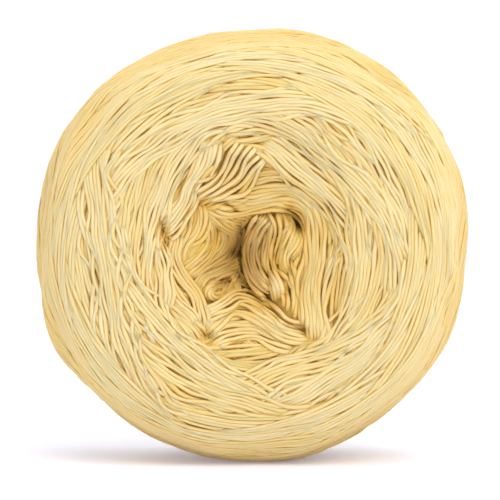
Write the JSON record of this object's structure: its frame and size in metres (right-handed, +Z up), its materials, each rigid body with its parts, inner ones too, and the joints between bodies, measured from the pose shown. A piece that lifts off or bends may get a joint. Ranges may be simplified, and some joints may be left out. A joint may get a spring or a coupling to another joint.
{
  "type": "yarn cake",
  "caption": "Wound cake of pale yellow yarn that stands on its rim, with crossed turns round an open, sagging centre hollow.",
  "frame": {"origin": "on the surface it rests on, under the middle of the cake's bounding box", "axes": "+Z up, +Y along the winding axis from the open face with the hollow to the plain back, +X to the right seen from the open face"},
  "size_m": [0.1196, 0.059, 0.119],
  "materials": {
    "yarn": "matt, loosely spun pale yellow yarn"
  },
  "bodies": {
    "root": {"yarn_cake": "yarn"}
  },
  "joints": []
}
